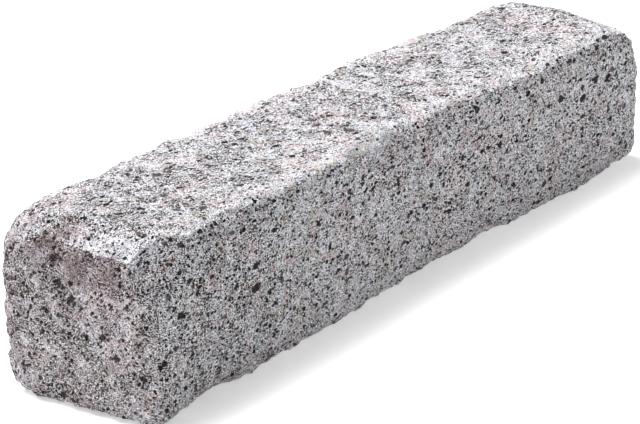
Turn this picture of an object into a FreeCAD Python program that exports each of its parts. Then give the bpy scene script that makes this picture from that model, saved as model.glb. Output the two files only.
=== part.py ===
import FreeCAD, Part
import math
import os
from collections import namedtuple

# Walling block of solid concrete, cast in one piece and then tumbled in a drum.
# Tumbling has bruised every arris and corner, so no two stretches of an arris are worn alike.
# Sizes are in millimetres. X runs along the block, Y through the wall and Z up.
# The origin is the middle of the bed that the block lies on.

# Size of the block as it left the mould
LENGTH = 600.0
WIDTH = 120.0
HEIGHT = 112.0

# Radius worn on the four long arrises, away from the knocks
BACK_BOTTOM_RADIUS = 13.5
BACK_TOP_RADIUS = 12.0
FRONT_TOP_RADIUS = 13.0
FRONT_BOTTOM_RADIUS = 14.0

# Radius worn on the four arrises round the near end, which lies at -X
NEAR_TOP_RADIUS = 23.0
NEAR_BOTTOM_RADIUS = 9.0
NEAR_FRONT_RADIUS = 13.0
NEAR_BACK_RADIUS = 17.0

# Radius worn on the four arrises round the far end, which lies at +X
FAR_TOP_RADIUS = 25.0
FAR_BOTTOM_RADIUS = 9.0
FAR_FRONT_RADIUS = 11.0
FAR_BACK_RADIUS = 14.0

# How far along a long arris the extra wear of a corner shows
CORNER_REACH = 55.0

# Wear that even a stretch the drum has spared has on its bed and on its side
SPARED_WEAR = 3.0

# Largest share of a face that the wear on one of its two sides may take
WEAR_SHARE = 0.46

# Spacing of the sections along the block, and the number of steps in an end's quarter round
SECTION_SPACING = 12.0
END_STEPS = 8

# Sides of the block, and its two ends
FRONT, BACK = -1, 1
BOTTOM, TOP = -1, 1
NEAR, FAR = -1, 1

# A bruise on a long arris: its place along the block from the middle, how far it fades out, and how much
# further it carries the wear across the bed and down the side. Where that is negative, the drum has
# spared the arris.
Knock = namedtuple("Knock", "place reach bed side")

# The small unevenness of every long arris: how much it adds to the wear or takes from it, and the
# lengths of the two waves it is made of
RESTLESS_WEAR = 1.6
RESTLESS_WAVES = (41.0, 67.0)

# A long arris: its two sides, the radius of its ordinary wear, the radius added at its near and at
# its far corner, and its knocks
LongArris = namedtuple("LongArris", "side_y side_z radius near_corner far_corner knocks")

# The four long arrises, anticlockwise as seen from the far end
LONG_ARRISES = [
    LongArris(BACK, BOTTOM, BACK_BOTTOM_RADIUS, near_corner=9.0, far_corner=5.0, knocks=[
        Knock(place=-150.0, reach=60.0, bed=5.0, side=5.0),
        Knock(place=-20.0, reach=45.0, bed=-4.0, side=-4.0),
        Knock(place=70.0, reach=35.0, bed=6.0, side=6.0),
        Knock(place=190.0, reach=55.0, bed=4.0, side=4.0),
    ]),
    LongArris(BACK, TOP, BACK_TOP_RADIUS, near_corner=9.0, far_corner=14.0, knocks=[
        Knock(place=-212.0, reach=30.0, bed=4.0, side=4.0),
        Knock(place=-140.0, reach=40.0, bed=-2.0, side=-2.0),
        Knock(place=-32.0, reach=30.0, bed=-3.0, side=-3.0),
        Knock(place=28.0, reach=26.0, bed=6.0, side=6.0),
        Knock(place=72.0, reach=44.0, bed=-6.0, side=-6.0),
        Knock(place=215.0, reach=80.0, bed=9.0, side=9.0),
    ]),
    LongArris(FRONT, TOP, FRONT_TOP_RADIUS, near_corner=13.0, far_corner=22.0, knocks=[
        Knock(place=-225.0, reach=50.0, bed=3.0, side=6.0),
        Knock(place=-120.0, reach=45.0, bed=-3.0, side=-3.0),
        Knock(place=-82.0, reach=24.0, bed=6.0, side=-3.0),
        Knock(place=-36.0, reach=34.0, bed=-1.0, side=16.0),
        Knock(place=20.0, reach=26.0, bed=-2.0, side=8.0),
        Knock(place=105.0, reach=40.0, bed=2.0, side=-4.0),
        Knock(place=145.0, reach=110.0, bed=16.0, side=-1.0),
        Knock(place=235.0, reach=45.0, bed=3.0, side=-3.0),
    ]),
    LongArris(FRONT, BOTTOM, FRONT_BOTTOM_RADIUS, near_corner=-3.0, far_corner=-1.0, knocks=[
        Knock(place=-238.0, reach=42.0, bed=7.0, side=7.0),
        Knock(place=-185.0, reach=34.0, bed=-2.0, side=-2.0),
        Knock(place=-10.0, reach=95.0, bed=7.0, side=7.0),
        Knock(place=76.0, reach=45.0, bed=11.0, side=11.0),
        Knock(place=212.0, reach=85.0, bed=-9.0, side=-9.0),
    ]),
]

# A facet that a hard knock has struck off the top of an end. Its plane passes at an inset from the end, at
# y across the block and at a depth below the top bed. It slopes down towards the end, in degrees, and is
# turned towards the front by some degrees.
Facet = namedtuple("Facet", "end inset y depth slope turn")

FACETS = [
    Facet(NEAR, inset=1.0, y=-36.0, depth=14.0, slope=35.0, turn=9.0),
    Facet(NEAR, inset=11.5, y=-43.4, depth=9.5, slope=66.0, turn=60.0),
    Facet(NEAR, inset=5.0, y=0.0, depth=10.0, slope=28.0, turn=4.0),
    Facet(FAR, inset=35.5, y=-22.0, depth=0.0, slope=22.0, turn=32.0),
]


def bell(distance, reach):
    """One at the middle of a knock, falling smoothly to nothing where the knock ends."""
    if abs(distance) >= reach:
        return 0.0
    return math.cos(math.pi / 2 * distance / reach) ** 2


def quarter_round(distance, radius):
    """How far the wear on an end arris sets a long face back, at a distance from that end."""
    if distance >= radius:
        return 0.0
    return radius - math.sqrt(radius ** 2 - (radius - distance) ** 2)


def restless(number, x):
    """Small unevenness of the wear at x, shifted by the arris's number so that no two arrises match."""
    shift = number * (number + 1)
    waves = [math.sin(2 * math.pi * x / length + shift) for length in RESTLESS_WAVES]
    return RESTLESS_WEAR * sum(waves) / len(waves)


def arris_wear(number, x):
    """How far an arris is worn across the bed and down the side at x, before the faces limit it."""
    arris = LONG_ARRISES[number]
    radius = arris.radius + restless(number, x)
    radius += arris.near_corner * bell(x + LENGTH / 2, CORNER_REACH)
    radius += arris.far_corner * bell(LENGTH / 2 - x, CORNER_REACH)
    bed = radius + sum(mark.bed * bell(x - mark.place, mark.reach) for mark in arris.knocks)
    side = radius + sum(mark.side * bell(x - mark.place, mark.reach) for mark in arris.knocks)
    return max(bed, SPARED_WEAR), max(side, SPARED_WEAR)


def worn_section(x):
    """Section at x, as a start, a cast corner and an end for the quarter round of each long arris."""
    near = x + LENGTH / 2
    far = LENGTH / 2 - x
    back = WIDTH / 2 - quarter_round(near, NEAR_BACK_RADIUS) - quarter_round(far, FAR_BACK_RADIUS)
    front = -WIDTH / 2 + quarter_round(near, NEAR_FRONT_RADIUS) + quarter_round(far, FAR_FRONT_RADIUS)
    top = HEIGHT - quarter_round(near, NEAR_TOP_RADIUS) - quarter_round(far, FAR_TOP_RADIUS)
    bottom = quarter_round(near, NEAR_BOTTOM_RADIUS) + quarter_round(far, FAR_BOTTOM_RADIUS)

    section = []
    for number, arris in enumerate(LONG_ARRISES):
        across_bed, down_side = arris_wear(number, x)
        across_bed = min(across_bed, WEAR_SHARE * (back - front))
        down_side = min(down_side, WEAR_SHARE * (top - bottom))
        y = back if arris.side_y == BACK else front
        z = top if arris.side_z == TOP else bottom
        on_side = FreeCAD.Vector(x, y, z - arris.side_z * down_side)
        corner = FreeCAD.Vector(x, y, z)
        on_bed = FreeCAD.Vector(x, y - arris.side_y * across_bed, z)
        if arris.side_y == arris.side_z:
            section.append((on_side, corner, on_bed))
        else:
            section.append((on_bed, corner, on_side))
    return section


def long_curve(points):
    """Smooth curve along the block, through one point of each section."""
    curve = Part.BSplineCurve()
    curve.interpolate(Points=points, Parameters=[float(number) for number in range(len(points))])
    return curve


# Weights of the curves that carry a strip: three for a quarter round across it, or two for a straight line
ARC_WEIGHTS = [1.0, math.sqrt(0.5), 1.0]
LINE_WEIGHTS = [1.0, 1.0]


def strip(curves, weights):
    """Face carried by long curves."""
    along = curves[0]
    across_degree = len(curves) - 1
    surface = Part.BSplineSurface()
    surface.buildFromPolesMultsKnots(
        [curve.getPoles() for curve in curves],
        [across_degree + 1, across_degree + 1], along.getMultiplicities(),
        [0.0, 1.0], along.getKnots(),
        False, False, across_degree, along.Degree,
        [[weight] * along.NbPoles for weight in weights])
    return surface.toShape()


def arris_curves(places):
    """For each long arris, the curves along the block that carry its starts, its corners and its ends."""
    sections = [worn_section(x) for x in places]
    arrises = []
    for number in range(len(LONG_ARRISES)):
        arrises.append([long_curve([section[number][part] for section in sections]) for part in range(3)])
    return arrises


def rounded_end(places):
    """Faces of an end's quarter round, where its wear sets the long faces back."""
    arrises = arris_curves(places)
    faces = []
    for number, (start, corner, end) in enumerate(arrises):
        next_start = arrises[(number + 1) % len(arrises)][0]
        faces.append(strip([start, corner, end], ARC_WEIGHTS))
        faces.append(strip([end, next_start], LINE_WEIGHTS))
    return faces


def middle(places):
    """Faces of the long middle: the worn arrises from section to section, and the flat cast faces."""
    faces = []
    for place, next_place in zip(places, places[1:]):
        for curves in arris_curves([place, next_place]):
            faces.append(strip(curves, ARC_WEIGHTS))
    sections = [worn_section(x) for x in places]
    for number in range(len(LONG_ARRISES)):
        next_number = (number + 1) % len(LONG_ARRISES)
        outline = [section[number][2] for section in sections]
        outline += [section[next_number][0] for section in reversed(sections)]
        faces.append(Part.Face(Part.makePolygon(outline + outline[:1])))
    return faces


def end_face(x):
    """Flat face of one end, inside the wear of its four arrises."""
    section = worn_section(x)
    edges = []
    for number, (start, corner, end) in enumerate(section):
        quarter = Part.BezierCurve()
        quarter.setPoles([start, corner, end])
        quarter.setWeight(2, ARC_WEIGHTS[1])
        next_start = section[(number + 1) % len(section)][0]
        edges.append(quarter.toShape())
        edges.append(Part.LineSegment(end, next_start).toShape())
    return Part.Face(Part.Wire(edges))


def struck_off(facet):
    """The concrete that a knock takes away: all that lies above the facet's plane."""
    slope = math.radians(facet.slope)
    turn = math.radians(facet.turn)
    towards_end = FreeCAD.Vector(facet.end * math.cos(turn), -math.sin(turn), 0)
    facing = towards_end * math.sin(slope) + FreeCAD.Vector(0, 0, math.cos(slope))
    place = FreeCAD.Vector(facet.end * (LENGTH / 2 - facet.inset), facet.y, HEIGHT - facet.depth)
    half = LENGTH / 2
    above = Part.makeBox(LENGTH, LENGTH, LENGTH, FreeCAD.Vector(-half, -half, 0))
    above.Placement = FreeCAD.Placement(place, FreeCAD.Rotation(FreeCAD.Vector(0, 0, 1), facing))
    return above


def wall_block():
    """The whole block: two rounded ends and the long middle between them, with the facets struck off."""
    near_reach = max(NEAR_TOP_RADIUS, NEAR_BOTTOM_RADIUS, NEAR_FRONT_RADIUS, NEAR_BACK_RADIUS)
    far_reach = max(FAR_TOP_RADIUS, FAR_BOTTOM_RADIUS, FAR_FRONT_RADIUS, FAR_BACK_RADIUS)
    quarter_steps = [1 - math.cos(math.pi / 2 * step / END_STEPS) for step in range(END_STEPS + 1)]
    near_places = [-LENGTH / 2 + near_reach * step for step in quarter_steps]
    far_places = [LENGTH / 2 - far_reach * step for step in reversed(quarter_steps)]
    middle_length = far_places[0] - near_places[-1]
    spans = round(middle_length / SECTION_SPACING)
    middle_places = [near_places[-1] + middle_length * span / spans for span in range(spans + 1)]

    faces = [end_face(-LENGTH / 2), end_face(LENGTH / 2)]
    faces += rounded_end(near_places) + middle(middle_places) + rounded_end(far_places)
    shell = Part.Shell(faces)
    shell.sewShape()
    block = Part.Solid(shell)
    for facet in FACETS:
        block = block.cut(struck_off(facet))
    return block


os.makedirs("parts", exist_ok=True)
wall_block().exportStep("parts/wall_block.step")
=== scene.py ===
import math

import bpy
import numpy as np
from mathutils import Matrix, Vector, kdtree, noise
from mathutils.bvhtree import BVHTree


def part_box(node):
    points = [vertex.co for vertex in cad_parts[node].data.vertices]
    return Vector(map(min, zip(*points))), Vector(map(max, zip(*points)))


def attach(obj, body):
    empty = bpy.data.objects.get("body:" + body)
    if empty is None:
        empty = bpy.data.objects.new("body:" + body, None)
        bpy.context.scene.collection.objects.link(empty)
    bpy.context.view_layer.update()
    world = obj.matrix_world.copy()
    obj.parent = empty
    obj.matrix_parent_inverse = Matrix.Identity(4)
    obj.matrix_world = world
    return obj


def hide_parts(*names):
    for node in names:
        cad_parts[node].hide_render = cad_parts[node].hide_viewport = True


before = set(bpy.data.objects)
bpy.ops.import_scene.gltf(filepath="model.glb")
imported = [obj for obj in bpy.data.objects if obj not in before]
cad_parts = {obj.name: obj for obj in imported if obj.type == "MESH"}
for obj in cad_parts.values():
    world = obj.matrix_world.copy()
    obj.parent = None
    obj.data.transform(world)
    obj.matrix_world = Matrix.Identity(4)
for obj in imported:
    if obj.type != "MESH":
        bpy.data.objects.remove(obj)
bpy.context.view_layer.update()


# The cast body. The block is one piece of dry-cast concrete, pressed in a steel mould, so its
# skin starts as a box. Here the box is covered with an even net of small squares, and the net
# is drawn in onto the tumbled shape that the block was worn to.
MM = 0.001
NET_PITCH = 1.76 * MM
cast_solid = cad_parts["wall_block"]
mould_low, mould_high = (np.array(corner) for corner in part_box("wall_block"))
mould_size = mould_high - mould_low
net_counts = np.round(mould_size / NET_PITCH).astype(int)

# Sides of the box, by the axis that they face along and the end of it that they lie at, in the order
# that they lie in on the flat sheet that the finish is laid out on
SIDES = [(2, 0), (1, 0), (2, 1), (1, 1), (0, 0), (0, 1)]
SHEET_SIZE = 606 * MM
SHEET_GAP = 3 * MM


def side_net(axis, end):
    """Net points of one side of the box as whole steps along X, Y and Z, and the side's two other axes."""
    first, second = [other for other in range(3) if other != axis]
    steps = np.zeros((net_counts[first] + 1, net_counts[second] + 1, 3), int)
    steps[..., first] = np.arange(net_counts[first] + 1)[:, None]
    steps[..., second] = np.arange(net_counts[second] + 1)[None, :]
    steps[..., axis] = net_counts[axis] * end
    return steps, first, second


def side_squares(numbers, axis, end):
    """Corners of a side's squares, turned so that they face out of the block."""
    squares = np.stack([numbers[:-1, :-1], numbers[1:, :-1], numbers[1:, 1:], numbers[:-1, 1:]], -1)
    squares = squares.reshape(-1, 4)
    faces_out = (end == 1) == (axis != 1)
    return squares if faces_out else squares[:, ::-1]


side_steps = []
side_places = []
sheet_up = SHEET_GAP
for axis, end in SIDES:
    steps, first, second = side_net(axis, end)
    across = SHEET_GAP
    if axis == 0 and end == 1:
        across += mould_size[1] + SHEET_GAP
    sheet_across = across + steps[..., first] * NET_PITCH
    on_sheet = np.stack([sheet_across, sheet_up + steps[..., second] * NET_PITCH], -1)
    if axis != 0:
        sheet_up += mould_size[second] + SHEET_GAP
    side_steps.append(steps)
    side_places.append(on_sheet / SHEET_SIZE)

# Net points that two or three sides share are made one, so that the skin is closed
all_steps = np.concatenate([steps.reshape(-1, 3) for steps in side_steps])
net_steps, numbers = np.unique(all_steps, axis=0, return_inverse=True)
numbers = numbers.reshape(-1)
squares = []
square_places = []
used = 0
for (axis, end), steps, on_sheet in zip(SIDES, side_steps, side_places):
    here = np.arange(used, used + steps.shape[0] * steps.shape[1]).reshape(steps.shape[:2])
    corners = side_squares(here, axis, end)
    squares.append(numbers[corners])
    square_places.append(on_sheet.reshape(-1, 2)[corners - used])
    used += here.size
squares = np.concatenate(squares)
square_places = np.concatenate(square_places)

box_points = mould_low + net_steps / net_counts * mould_size
tumbled_shape = BVHTree.FromObject(cast_solid, bpy.context.evaluated_depsgraph_get())
worn_points = np.array([tumbled_shape.find_nearest(Vector(point))[0] for point in box_points])


# The tumbled skin. In the drum the arrises lose sand and small stones, which leaves them rough
# and cut into short facets. The cast faces only lose what was loose, and the two ends, where the
# mix was thinnest, are torn and mauve-brown.
FULL_WEAR = 2.2 * MM
BUMP_FADE = 1.0
BUMP_STEP = 2.0


def step_up(values, low, high):
    """Zero below low, one above high, and a smooth rise between them."""
    part = np.clip((values - low) / (high - low), 0, 1)
    return part * part * (3 - 2 * part)


def uneven(widest, octaves, offset):
    """Unevenness of about -1 to 1 at the net points, whose largest bumps have the given width."""
    shift = Vector((offset, offset * 0.7, offset * 1.3))
    return np.array([noise.fractal(Vector(point) / widest + shift, BUMP_FADE, BUMP_STEP, octaves)
                     for point in worn_points])


def outward(points):
    """Directions that point out of the skin at its net points."""
    across = points[squares[:, 2]] - points[squares[:, 0]]
    down = points[squares[:, 3]] - points[squares[:, 1]]
    square_normals = np.cross(across, down)
    normals = np.zeros_like(points)
    for corner in range(4):
        np.add.at(normals, squares[:, corner], square_normals)
    return normals / np.linalg.norm(normals, axis=1)[:, None]


# How far each net point belongs to a worn arris, and the skin's unevenness at four sizes
arris_wear = step_up(np.linalg.norm(box_points - worn_points, axis=1), 0, FULL_WEAR)
broad = uneven(34 * MM, 2, 11.0)
lumps = uneven(11 * MM, 3, 47.0)
knobs = uneven(7 * MM, 2, 131.0)
grit = uneven(4.5 * MM, 2, 83.0)

# Sand lost from every sharp edge, which rounds it over a few millimetres
ROUNDINGS = 12
skin_points = worn_points.copy()
neighbours = np.zeros(len(skin_points))
for corner in range(4):
    np.add.at(neighbours, squares[:, corner], 2)
for _ in range(ROUNDINGS):
    beside = np.zeros_like(skin_points)
    for corner in range(4):
        np.add.at(beside, squares[:, corner], skin_points[squares[:, corner - 1]])
        np.add.at(beside, squares[:, corner], skin_points[squares[:, (corner + 1) % 4]])
    skin_points += (beside / neighbours[:, None] - skin_points) / 2
skin_normals = outward(skin_points)

# Place near the middle where the front top arris was rubbed down further
RUB_PLACE = (-62, -56, 108)
RUB_FACING = (0, -0.66, 0.75)
RUB_LENGTH = 34 * MM
RUB_DEPTH = 1.2 * MM
FACET_EDGE = 1.6


def strike(middle, facing, length, depth):
    """Takes off what stands above a shallow facet, whose middle lies at a depth below a net point."""
    facing = np.array(Vector(facing).normalized())
    apart = skin_points - skin_points[middle]
    over = apart @ facing
    along = np.sqrt(np.clip((apart ** 2).sum(1) - over ** 2, 0, None)) / length
    over += depth * (1 - along ** 2)
    struck = (over > 0) & (along < FACET_EDGE)
    skin_points[struck] -= np.outer(over[struck], facing)


rub_middle = np.argmin(np.linalg.norm(worn_points / MM - np.array(RUB_PLACE), axis=1))
strike(rub_middle, RUB_FACING, RUB_LENGTH, RUB_DEPTH)

# Facets knocked off along all the arrises, and smaller ones close together along the top of the near
# end: how many there are, and their least and largest length and depth in millimetres
ARRIS_FACETS = (130, 4, 12, 0.3, 0.9)
LIP_FACETS = (60, 2.5, 6, 0.5, 1.1)
FACET_ARRIS_WEAR = 0.9
FACET_TILT = 0.6
LIP_IN = 14 * MM
LIP_DOWN = 16 * MM
LIP_UPWARD = 0.55
LIP_EITHER_WAY = 0.35
chance = np.random.default_rng(20260)
arris_points = np.flatnonzero(arris_wear > FACET_ARRIS_WEAR)
near_lip = (worn_points[:, 0] < mould_low[0] + LIP_IN) & (worn_points[:, 2] > mould_high[2] - LIP_DOWN)
lip_points = np.flatnonzero(near_lip & (abs(skin_normals[:, 2] - LIP_UPWARD) < LIP_EITHER_WAY))
facets = []
for points, (count, shortest, longest, shallowest, deepest) in ((arris_points, ARRIS_FACETS),
                                                                (lip_points, LIP_FACETS)):
    for middle in chance.choice(points, count, replace=False):
        length = chance.uniform(shortest, longest) * MM
        depth = chance.uniform(shallowest, deepest) * MM
        facets.append((middle, length, depth))
for middle, length, depth in facets:
    tilt = Vector(chance.uniform(-FACET_TILT, FACET_TILT, 3)) * (depth / length)
    strike(middle, Vector(skin_normals[middle]) + tilt, length, depth)

# How far each net point belongs to a torn end. At the near end it reaches further in at the back top
# corner.
CORNER_IN = 23 * MM
CORNER_FADE = 12 * MM
CORNER_TORN, LUMPS_TORN, BROAD_TORN = 0.3, 0.35, 0.2
TORN_STARTS, TORN_FULL = 0.45, 1.0
back_corner = step_up(worn_points[:, 1], -CORNER_FADE, CORNER_FADE)
back_corner *= worn_points[:, 0] < mould_low[0] + CORNER_IN
facing_end = abs(skin_normals[:, 0]) + CORNER_TORN * back_corner + LUMPS_TORN * lumps + BROAD_TORN * broad
torn = step_up(facing_end, TORN_STARTS, TORN_FULL)

# Relief of each kind of skin in millimetres: the share of the broad waves, of the lumps, of the knobs and
# of the grit, and how far the whole stands out
CAST_RELIEF = np.array((0.3, 0.35, 0, 0.45, -0.25))
ARRIS_RELIEF = np.array((0.5, 1.3, 0.4, 0.6, -0.2))
TORN_RELIEF = np.array((0.8, 1.4, 0, 1.2, -0.4))
unevenness = np.stack([broad, lumps, knobs, grit, np.ones_like(broad)])
relief = CAST_RELIEF @ unevenness
relief += arris_wear * (ARRIS_RELIEF @ unevenness)
relief += torn * (1 - arris_wear) * (TORN_RELIEF @ unevenness)
relief *= MM

# Pits with uneven rims. The first list has the place and radius of those that show on the near end and
# along the front. The rest are strewn: how many, their least and largest width, and their largest depth.
SEEN_PITS = [((-300, -30, 40), 3.1), ((-300, -21, 51), 2.7), ((-300, 10, 7), 3.6), ((-300, 14, 92), 3.4),
             ((-300, 24, 45), 2.9), ((-300, 2, 69), 3.2), ((-300, -5, 65), 2.6), ((-300, 11, 78), 2.9),
             ((-300, -8, 48), 2.1), ((-268, -56, 105), 3.0), ((10, -56, 108), 2.6), ((-143, -60, 9), 2.4)]
SEEN_PIT_DEPTH = 1.9 * MM
STREWN_PITS = [(50, 3.4, 4.8, 1.8), (420, 2.3, 3.4, 1.2), (1700, 1.6, 2.4, 0.8)]
SHALLOWEST = 0.5
TORN_PITS = 260
TORN_PIT_RADII = (1.0, 2.4)
TORN_PIT_DEPTHS = (0.8, 1.8)
TORN_ENOUGH = 0.7
RIM_UNEVENNESS = 0.8
RIM_REACH = 1.5
near_points = kdtree.KDTree(len(worn_points))
for number, point in enumerate(worn_points):
    near_points.insert(point, number)
near_points.balance()
pits = [(Vector(place) * MM, radius * MM, SEEN_PIT_DEPTH) for place, radius in SEEN_PITS]
for count, least, most, depth in STREWN_PITS:
    for middle in chance.integers(0, len(worn_points), count):
        radius = chance.uniform(least, most) / 2 * MM
        pits.append((Vector(worn_points[middle]), radius, depth * chance.uniform(SHALLOWEST, 1.0) * MM))
for middle in chance.choice(np.flatnonzero(torn > TORN_ENOUGH), TORN_PITS, replace=False):
    radius = chance.uniform(*TORN_PIT_RADII) * MM
    pits.append((Vector(worn_points[middle]), radius, chance.uniform(*TORN_PIT_DEPTHS) * MM))
pit_depth = np.zeros(len(worn_points))
for middle, radius, depth in pits:
    for place, number, distance in near_points.find_range(middle, radius * RIM_REACH):
        rim = radius * (1 + RIM_UNEVENNESS * grit[number])
        if distance < rim:
            pit_depth[number] = max(pit_depth[number], depth * (1 - (distance / rim) ** 2))
relief -= pit_depth
skin_points += outward(skin_points) * relief[:, None]
skin_points = np.clip(skin_points, mould_low, mould_high)

# Stones that show, by their place and radius: black basalt along the front, which lies lengthwise, and
# brown-grey ones on top
BLACK_STONES = [((-203, -60, 58), 2.6), ((-203, -60, 72), 2.2), ((-223, -60, 65), 2.0),
                ((-277, -60, 65), 1.9), ((-247, -60, 79), 1.7), ((-125, -60, 105), 1.8),
                ((-99, -60, 70), 1.8), ((-75, -60, 82), 1.7), ((5, -60, 69), 2.0), ((11, -60, 60), 1.7),
                ((35, -60, 72), 1.7), ((85, -60, 67), 2.2), ((105, -60, 103), 1.8), ((171, -60, 78), 2.7),
                ((204, -60, 78), 2.0), ((205, -60, 70), 3.0), ((205, -60, 47), 1.9),
                ((224, -60, 79), 2.8), ((243, -60, 75), 2.2), ((249, -60, 43), 2.2)]
BLACK_STONE_STRETCH = 1.5
BROWN_STONES = [((-195, 18, 112), 3.2), ((-186, 15, 112), 2.2), ((-224, -9, 112), 2.6),
                ((-239, -30, 112), 2.8), ((-229, -29, 112), 2.4), ((-228, -41, 112), 2.6),
                ((-70, -21, 112), 3.0), ((-60, -33, 112), 2.8), ((-54, 1, 112), 2.6),
                ((-71, -46, 112), 2.2), ((98, 20, 112), 3.2)]
CLEAR_OF_STONES = 4.0
worn_mm = worn_points / MM


def outside(stones, stretch):
    """How far outside the nearest stone each net point is, in millimetres, with stones drawn lengthwise."""
    nearest = np.full(len(worn_mm), CLEAR_OF_STONES)
    for place, radius in stones:
        apart = np.linalg.norm((worn_mm - np.array(place)) / (stretch, 1, 1), axis=1) - radius
        nearest = np.minimum(nearest, apart)
    return nearest


def patches(places, points):
    """Sum of soft round patches, each given by its middle, its reach and its strength."""
    total = np.zeros(len(points))
    for *middle, reach, strength in places:
        apart = np.linalg.norm(points - np.array(middle), axis=1)
        total += strength * np.exp(-(apart / reach) ** 2)
    return total


# Pale dust on what faces up beside an edge, with a ragged end. It lies thickest over the near front corner,
# where a patch of painted highlight is added to it, and most of it is gone from the back one, which is
# torn.
DUST_AND_HIGHLIGHT_PATCHES = [(-286, -57, 106, 13, 0.9)]
DUST_THINS, DUST_ENDS, DUST_RAGGED = 4 * MM, 22 * MM, 8 * MM
DUST_SLIDES, DUST_LIES, DUST_UNEVEN = 0.64, 0.84, 0.1
DUST_TORN_OFF = 0.8
from_edge = np.sort(np.minimum(box_points - mould_low, mould_high - box_points), axis=1)[:, 1]
dust_and_highlight = 1 - step_up(from_edge + DUST_RAGGED * lumps, DUST_THINS, DUST_ENDS)
dust_and_highlight *= step_up(skin_normals[:, 2] + DUST_UNEVEN * lumps, DUST_SLIDES, DUST_LIES)
dust_and_highlight *= 1 - DUST_TORN_OFF * back_corner
dust_and_highlight = np.clip(dust_and_highlight + patches(DUST_AND_HIGHLIGHT_PATCHES, worn_mm), 0, 1)

# Painted shade darkens the rubbed front arris, where it stands for a worn hollow, and part of the near
# end's lip, where it stands for a slope turned from the light
PAINTED_SHADE_PATCHES = [(-50, -48, 112, 12, 0.55), (-84, -52, 110, 9, 0.45), (-297, -17, 104, 7, 0.7)]
PAINTED_SHADE_UNEVEN = 0.8
painted_shade = np.clip(patches(PAINTED_SHADE_PATCHES, worn_mm) * (1 + PAINTED_SHADE_UNEVEN * lumps), 0, 1)

# Mauve-brown of the torn ends, in patches placed by Y and Z alone; the strongest ones darken the near end
# just under its top arris
BROWN_PATCHES = [(22, 101, 18, 0.8), (-8, 95, 15, 0.85), (-28, 91, 10, 0.7), (4, 67, 10, 0.45),
                 (50, 50, 14, 0.3), (36, 22, 12, 0.25)]
BROWN_ALL_OVER, BROWN_LUMPS, BROWN_BROAD = 0.12, 0.6, 0.2
brown = BROWN_ALL_OVER + BROWN_LUMPS * lumps + BROWN_BROAD * broad
brown = np.clip(brown + patches(BROWN_PATCHES, worn_mm[:, 1:]), 0, 1) * torn

# The skin itself, which carries at its net points where the concrete is pitted, dusted, torn or brown, and
# where painted shade and a painted highlight lie on it
FULL_PIT = 1.5 * MM
skin = bpy.data.meshes.new("wall_block_skin")
skin.from_pydata(skin_points.tolist(), [], squares.tolist())
skin.polygons.foreach_set("use_smooth", np.ones(len(squares), bool))
sheet = skin.uv_layers.new(name="OFBake")
sheet.data.foreach_set("uv", square_places.reshape(-1))
skin_layers = {"pit": pit_depth / FULL_PIT, "dust_and_painted_highlight": dust_and_highlight, "torn": torn, "brown": brown, "painted_shade": painted_shade,
               "stone": outside(BLACK_STONES, BLACK_STONE_STRETCH), "brown_stone": outside(BROWN_STONES, 1)}
for name, values in skin_layers.items():
    layer = skin.attributes.new(name, "FLOAT", "POINT")
    layer.data.foreach_set("value", np.array(values, np.float32))
skin.update()
block = bpy.data.objects.new("wall_block_skin", skin)
bpy.context.collection.objects.link(block)
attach(block, "root")
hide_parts("wall_block")


# The concrete. It is a grey cement paste full of sharp sand: pale quartz, dark basalt and a few tinted
# stones, with small air holes between, whose shade is painted in with the basalt. The dry surface is dead
# matt.
concrete = bpy.data.materials.new("concrete")
concrete.use_nodes = True
nodes = concrete.node_tree.nodes
links = concrete.node_tree.links
nodes.clear()


def node(kind, **settings):
    """A new node of the concrete, with its settings."""
    made = nodes.new(kind)
    for name, value in settings.items():
        setattr(made, name, value)
    return made


def put(socket, value):
    """Joins a socket to a value or to another node's output."""
    if isinstance(value, bpy.types.NodeSocket):
        links.new(value, socket)
    else:
        socket.default_value = value


def maths(operation, first, second):
    """Result of a sum with two numbers."""
    made = node("ShaderNodeMath", operation=operation)
    put(made.inputs[0], first)
    put(made.inputs[1], second)
    return made.outputs[0]


def span(value, low, high, to_low=0.0, to_high=1.0, smooth=True):
    """Value carried from one range to another, and held at its ends."""
    made = node("ShaderNodeMapRange", interpolation_type="SMOOTHSTEP" if smooth else "LINEAR")
    put(made.inputs["Value"], value)
    for name, number in (("From Min", low), ("From Max", high), ("To Min", to_low), ("To Max", to_high)):
        put(made.inputs[name], number)
    return made.outputs[0]


def blend(amount, first, second, blend_type="MIX"):
    """Colour between two colours."""
    made = node("ShaderNodeMix", data_type="RGBA", blend_type=blend_type)
    made.clamp_factor = True
    put(made.inputs["Factor"], amount)
    colours = [socket for socket in made.inputs if socket.type == "RGBA"]
    put(colours[0], first)
    put(colours[1], second)
    return [socket for socket in made.outputs if socket.type == "RGBA"][0]


def tinted(amount, colour, factor):
    """Colour made lighter or darker by a factor, by the amount."""
    return blend(amount, colour, (factor, factor, factor, 1), "MULTIPLY")


def skin_layer(name):
    """What the skin's net points carry under a name."""
    return node("ShaderNodeAttribute", attribute_name=name).outputs["Fac"]


def shifted(place, offset):
    """Place moved aside, so that no pattern follows another."""
    made = node("ShaderNodeVectorMath", operation="ADD")
    put(made.inputs[0], place)
    made.inputs[1].default_value = (offset, offset * 2, offset * 3)
    return made.outputs[0]


# Place on the block in millimetres, how far it is torn there, and how far it is dusted or given a painted
# highlight
in_mm = node("ShaderNodeVectorMath", operation="SCALE")
put(in_mm.inputs[0], node("ShaderNodeTexCoord").outputs["Object"])
in_mm.inputs["Scale"].default_value = 1 / MM
place_mm = in_mm.outputs[0]
ways = node("ShaderNodeSeparateXYZ")
put(ways.inputs[0], place_mm)
length_way = ways.outputs["X"]
height_way = ways.outputs["Z"]
torn_here = skin_layer("torn")
dust_and_highlight_here = skin_layer("dust_and_painted_highlight")


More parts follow.
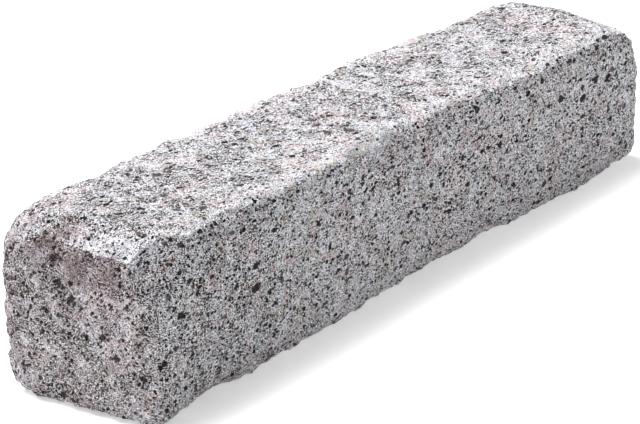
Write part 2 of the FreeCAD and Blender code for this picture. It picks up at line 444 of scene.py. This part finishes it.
def mottle(size, detail=2.0, rough=0.5, offset=0.0):
    """Soft uneven tone whose patches are as wide as the size, in millimetres."""
    made = node("ShaderNodeTexNoise")
    put(made.inputs["Vector"], shifted(place_mm, offset))
    made.inputs["Scale"].default_value = 1 / size
    made.inputs["Detail"].default_value = detail
    made.inputs["Roughness"].default_value = rough
    return made.outputs["Fac"]


def stained(colour, stain, size, low, high, strength, offset):
    """Colour with soft stains where a mottle of that size rises from low to high."""
    return blend(maths("MULTIPLY", span(mottle(size, offset=offset), low, high), strength), colour, stain)


# Cement paste, from bluish grey to mauve over a few centimetres, with soft buff and pinkish stains. Small
# rusty and bluish ones are strongest at the near end, and the torn ends are mauve, with brown patches.
PASTE_GREY = (0.58, 0.59, 0.635, 1)
PASTE_MAUVE = (0.625, 0.575, 0.605, 1)
PASTE_BUFF = (0.50, 0.465, 0.41, 1)
PASTE_PINK = (0.53, 0.42, 0.435, 1)
PASTE_TORN = (0.60, 0.54, 0.565, 1)
PASTE_RUST = (0.46, 0.36, 0.35, 1)
PASTE_BLUE = (0.58, 0.61, 0.69, 1)
PASTE_BROWN = (0.20, 0.155, 0.16, 1)
stronger_near = span(length_way, -140, -240, 0.4, 0.75)
paste = blend(span(mottle(26, 3.0), 0.42, 0.62), PASTE_GREY, PASTE_MAUVE)
paste = stained(paste, PASTE_BUFF, 12, 0.56, 0.68, 0.85, 31)
paste = stained(paste, PASTE_PINK, 8, 0.57, 0.68, 0.9, 87)
paste = blend(maths("MULTIPLY", torn_here, 0.6), paste, PASTE_TORN)
paste = stained(paste, PASTE_RUST, 5.5, 0.58, 0.68, stronger_near, 143)
paste = stained(paste, PASTE_BLUE, 6.5, 0.55, 0.66, stronger_near, 171)
paste = blend(maths("MULTIPLY", skin_layer("brown"), 0.85), paste, PASTE_BROWN)

# Drift of the tone over some millimetres, the pale dust of the rubbed arrises with a painted highlight at
# the near front corner, and painted shade
DARKEST_DRIFT, PALEST_DRIFT = 0.88, 1.12
DUST_AND_HIGHLIGHT_TINT = 1.09
PAINTED_SHADE_TINT = 0.6
drift = node("ShaderNodeCombineColor")
drift_tone = span(mottle(4, 4.0, 0.6, offset=5), 0.3, 0.7, DARKEST_DRIFT, PALEST_DRIFT)
for socket in drift.inputs:
    put(socket, drift_tone)
sandy = blend(1.0, paste, drift.outputs[0], "MULTIPLY")
sandy = tinted(dust_and_highlight_here, sandy, DUST_AND_HIGHLIGHT_TINT)
sandy = tinted(skin_layer("painted_shade"), sandy, PAINTED_SHADE_TINT)

# The mix was drawn along the mould, so its grains lie a little lengthwise. It was also filled from one
# end, and the sand that went in last, at the far end, is the coarser.
NEAR_END, FAR_END = -300, 300
FINER_ALONG = (1.0, 0.78)
FINER_ACROSS = (1.52, 1.12)
RAGGED_SCALE = 1.3
RAGGED_BY = 0.8
finer_along = span(length_way, NEAR_END, FAR_END, *FINER_ALONG, smooth=False)
finer_across = span(length_way, NEAR_END, FAR_END, *FINER_ACROSS, smooth=False)
finer = node("ShaderNodeCombineXYZ")
for socket, amount in zip(finer.inputs, (finer_along, finer_across, finer_across)):
    put(socket, amount)
drawn = node("ShaderNodeVectorMath", operation="MULTIPLY")
put(drawn.inputs[0], place_mm)
put(drawn.inputs[1], finer.outputs[0])
ragged = node("ShaderNodeTexNoise")
put(ragged.inputs["Vector"], drawn.outputs[0])
ragged.inputs["Scale"].default_value = RAGGED_SCALE
ragged.inputs["Detail"].default_value = 2.0
ragged_place = node("ShaderNodeVectorMath", operation="MULTIPLY_ADD")
put(ragged_place.inputs[0], ragged.outputs["Color"])
ragged_place.inputs[1].default_value = (RAGGED_BY, RAGGED_BY, RAGGED_BY)
put(ragged_place.inputs[2], drawn.outputs[0])


def grains(size, offset):
    """Grains packed side by side: how far a point is from its grain's middle, and the grain's chances."""
    made = node("ShaderNodeTexVoronoi")
    put(made.inputs["Vector"], shifted(ragged_place.outputs[0], offset))
    made.inputs["Scale"].default_value = 1 / size
    lots = node("ShaderNodeSeparateColor")
    put(lots.inputs[0], made.outputs["Color"])
    return made.outputs["Distance"], lots.outputs[0], lots.outputs[1], lots.outputs[2]


def picked_grains(size, share, offset):
    """A share of the grains, which fill their cells."""
    return maths("LESS_THAN", grains(size, offset)[1], share)


SEAM = 0.45


def marks(size, share, least, most, offset):
    """Ragged marks, one in each of a share of the grains, whose reach is a part of the grain's own size.

    Gives the marks, the marks with the thin seam round them, and a chance that is each mark's own."""
    distance, picked, wide, tone = grains(size, offset)
    reach = span(wide, 0, 1, least, most, smooth=False)
    chosen = maths("LESS_THAN", picked, share)
    inside = maths("MULTIPLY", maths("LESS_THAN", distance, reach), chosen)
    with_seam = maths("MULTIPLY", maths("LESS_THAN", distance, maths("ADD", reach, SEAM / size)), chosen)
    return inside, with_seam, tone


# Quartz sand, which is pale, and grey sand: each by the width of its grains, the share of them that is
# such sand, and the offset of the pattern
QUARTZ_TINT = 1.55
GREY_SAND_TINT = 0.67
quartz = picked_grains(0.9, 0.26, 17.0)
sandy = tinted(quartz, sandy, QUARTZ_TINT)
sandy = tinted(picked_grains(0.8, 0.26, 71.0), sandy, GREY_SAND_TINT)

# How rich the sand is in basalt and in dark air holes, whose shade is painted. It varies over a centimetre,
# more so on top and on the torn ends. The near end has more of it. The rubbed arrises have less, as their
# dust leaves the grains pale, and so has the painted highlight at the near front corner.
TOP_STARTS, TOP_FULL = 104, 111
HIDDEN_BY_DUST_AND_HIGHLIGHT = 0.6
clean = maths("SUBTRACT", 1.0, maths("MULTIPLY", dust_and_highlight_here, HIDDEN_BY_DUST_AND_HIGHLIGHT))
richer_end = span(length_way, -140, -230, 1.0, span(height_way, 96, 108, 1.35, 1.18))
patchy = maths("MAXIMUM", span(height_way, TOP_STARTS, TOP_FULL), torn_here)
least_rich = span(patchy, 0, 1, 0.78, 0.6)
most_rich = span(patchy, 0, 1, 1.27, 1.6)
richness = maths("MULTIPLY", span(mottle(13, offset=61), 0.35, 0.65, least_rich, most_rich), richer_end)
richness = maths("MULTIPLY", richness, clean)
richness = maths("MULTIPLY", richness, span(torn_here, 0, 1, 1.0, 0.8))

# Basalt sand in six sizes, whose dark marks also carry painted shade of small air holes: the width of the
# grains, the share of them that is dark, how much of this share is left on top and on a torn end, and
# whether some of them are rusty
BASALT_AND_HOLE_SHADE_SIZES = [(0.75, 0.52, 1.0, 1.2, False), (1.1, 0.42, 1.0, 1.2, False), (1.6, 0.20, 1.0, 0.75, False),
                (2.4, 0.20, 1.0, 0.75, True), (3.6, 0.12, 0.8, 0.75, True), (5.2, 0.03, 0.8, 0.75, False)]
BASALT_AND_HOLE_SHADE = (0.012, 0.011, 0.012, 1)
BROWN_PORE_SHADE = (0.026, 0.016, 0.015, 1)
RUSTY_STONE = (0.095, 0.053, 0.047, 1)
RUSTY_SHARE = 0.22
FAINTEST = 0.88
LEAST_REACH, MOST_REACH = 0.32, 0.62
PALE_SEAM = 1.37
PALEST = (0.93, 0.92, 0.93, 1)
DENT_DEPTH = -0.3
dotted = sandy
dents = 0.0
for number, (size, share, on_top, on_torn, rusty) in enumerate(BASALT_AND_HOLE_SHADE_SIZES):
    amount = maths("MULTIPLY", richness, share)
    amount = maths("MULTIPLY", amount, span(height_way, TOP_STARTS, TOP_FULL, 1.0, on_top))
    amount = maths("MULTIPLY", amount, span(torn_here, 0, 1, 1.0, on_torn))
    picked, seamed, tone = marks(size, amount, LEAST_REACH, MOST_REACH, 7.0 + 13 * number)
    dotted = blend(1.0, tinted(seamed, dotted, PALE_SEAM), PALEST, "DARKEN")
    strength = maths("MULTIPLY", picked, span(tone, 0, 1, FAINTEST, 1.0, smooth=False))
    # On the torn ends the dark marks are painted shade in brown pores
    dark = blend(torn_here, BASALT_AND_HOLE_SHADE, BROWN_PORE_SHADE)
    if rusty:
        dark = blend(maths("LESS_THAN", tone, RUSTY_SHARE), dark, RUSTY_STONE)
    dotted = blend(strength, dotted, dark)
    dents = maths("ADD", dents, maths("MULTIPLY", picked, DENT_DEPTH * size))

# A few grey stones, painted shade in the pits, and the stones that show. Their edges are ragged by
# some part of a millimetre.
GREY_STONE = (0.135, 0.108, 0.10, 1)
PIT_PAINTED_SHADE = (0.026, 0.02, 0.019, 1)
BLACK_STONE = (0.02, 0.019, 0.02, 1)
BROWN_STONE = (0.085, 0.066, 0.06, 1)
dotted = blend(marks(5.0, 0.03, 0.2, 0.42, 113.0)[0], dotted, GREY_STONE)
pit_shade_edge = span(mottle(1.5, offset=23), 0.25, 0.75, -0.45, 0.45, smooth=False)
pit_shade_here = span(maths("ADD", skin_layer("pit"), pit_shade_edge), 0.30, 0.62)
dotted = blend(maths("MULTIPLY", pit_shade_here, 0.9), dotted, PIT_PAINTED_SHADE)
stone_edge = mottle(2.2, offset=3)
for name, raggedness, strength, colour in (("stone", 0.9, 0.97, BLACK_STONE),
                                           ("brown_stone", 1.3, 0.95, BROWN_STONE)):
    ragged_edge = span(stone_edge, 0.25, 0.75, -raggedness, raggedness, smooth=False)
    stone_here = span(maths("ADD", skin_layer(name), ragged_edge), 0.25, -0.25)
    dotted = blend(maths("MULTIPLY", stone_here, strength), dotted, colour)

# Height of the fine relief in millimetres: the dents that dark grains left, the quartz that stands out,
# fine grit, and coarser grit that is rougher on the torn ends
QUARTZ_STANDS = 0.15
FINE_GRIT = 0.8
CAST_GRIT, TORN_GRIT = 1.6, 2.6
coarse_grit = span(torn_here, 0, 1, CAST_GRIT, TORN_GRIT)
height = maths("ADD", dents, maths("MULTIPLY", mottle(0.8, rough=0.6, offset=9), FINE_GRIT))
height = maths("ADD", height, maths("MULTIPLY", quartz, QUARTZ_STANDS))
height = maths("ADD", height, maths("MULTIPLY", mottle(2.2, offset=19), coarse_grit))
bumps = node("ShaderNodeBump")
bumps.inputs["Strength"].default_value = 0.9
bumps.inputs["Distance"].default_value = 1.3 * MM
put(bumps.inputs["Height"], height)

surface = node("ShaderNodeBsdfPrincipled")
put(surface.inputs["Base Color"], dotted)
put(surface.inputs["Roughness"], span(mottle(3, offset=13), 0.3, 0.7, 0.84, 0.97))
surface.inputs["Specular IOR Level"].default_value = 0.1
put(surface.inputs["Normal"], bumps.outputs[0])
output = node("ShaderNodeOutputMaterial")
put(output.inputs["Surface"], surface.outputs[0])
skin.materials.append(concrete)


# The studio. The block lies on a broad pale sheet that is lit a little from below, under one wide
# soft light from above and behind.
FLOOR_HALF = 8.0
FLOOR_CLEARANCE = 0.05 * MM
WHITE = (1, 1, 1, 1)
floor_mesh = bpy.data.meshes.new("studio_floor")
floor_corners = [(-FLOOR_HALF, -FLOOR_HALF, 0), (FLOOR_HALF, -FLOOR_HALF, 0), (FLOOR_HALF, FLOOR_HALF, 0),
                 (-FLOOR_HALF, FLOOR_HALF, 0)]
floor_mesh.from_pydata(floor_corners, [], [(0, 1, 2, 3)])
floor = bpy.data.objects.new("studio_floor", floor_mesh)
floor.location.z = mould_low[2] - FLOOR_CLEARANCE
bpy.context.collection.objects.link(floor)
pale = bpy.data.materials.new("pale_floor")
pale.use_nodes = True
pale_surface = pale.node_tree.nodes["Principled BSDF"]
pale_surface.inputs["Base Color"].default_value = (0.93, 0.93, 0.93, 1)
pale_surface.inputs["Roughness"].default_value = 0.9
pale_surface.inputs["Emission Color"].default_value = WHITE
pale_surface.inputs["Emission Strength"].default_value = 0.425
floor_mesh.materials.append(pale)

sky = bpy.data.worlds.new("studio_walls")
sky.use_nodes = True
sky.node_tree.nodes["Background"].inputs["Color"].default_value = WHITE
sky.node_tree.nodes["Background"].inputs["Strength"].default_value = 0.30
bpy.context.scene.world = sky

overhead = bpy.data.lights.new("overhead_softbox", "AREA")
overhead.shape = "RECTANGLE"
overhead.size = 3.0
overhead.size_y = 2.0
overhead.energy = 214
softbox = bpy.data.objects.new("overhead_softbox", overhead)
softbox.location = (-0.3, 1.2, 2.9)
softbox.rotation_euler = (-softbox.location).to_track_quat("-Z", "Y").to_euler()
bpy.context.collection.objects.link(softbox)
bpy.context.scene.view_settings.view_transform = "Standard"


# The camera. It stands off the near end of the block, well back and with a long lens, and looks down
# along it. Its place, its three turns and its focal length were fitted to the block's long edges.
FRAME_WIDTH = 640
SENSOR_WIDTH = 36.0
FOCAL_PIXELS = 2409.3
EYE = Vector((-1.27772, -0.82538, 0.57188))
YAW = math.radians(-56.17)
PITCH = math.radians(19.50)
ROLL = math.radians(-0.474)
back_way = Vector((math.sin(YAW) * math.cos(PITCH), -math.cos(YAW) * math.cos(PITCH), math.sin(PITCH)))
level_right = Vector((math.cos(YAW), math.sin(YAW), 0))
level_up = back_way.cross(level_right)
right_way = level_right * math.cos(ROLL) + level_up * math.sin(ROLL)
up_way = level_up * math.cos(ROLL) - level_right * math.sin(ROLL)
camera_data = bpy.data.cameras.new("camera")
camera_data.sensor_width = SENSOR_WIDTH
camera_data.lens = FOCAL_PIXELS * SENSOR_WIDTH / FRAME_WIDTH
camera_data.clip_end = 50
camera = bpy.data.objects.new("camera", camera_data)
camera.matrix_world = Matrix.Translation(EYE) @ Matrix((right_way, up_way, back_way)).transposed().to_4x4()
bpy.context.collection.objects.link(camera)
bpy.context.scene.camera = camera
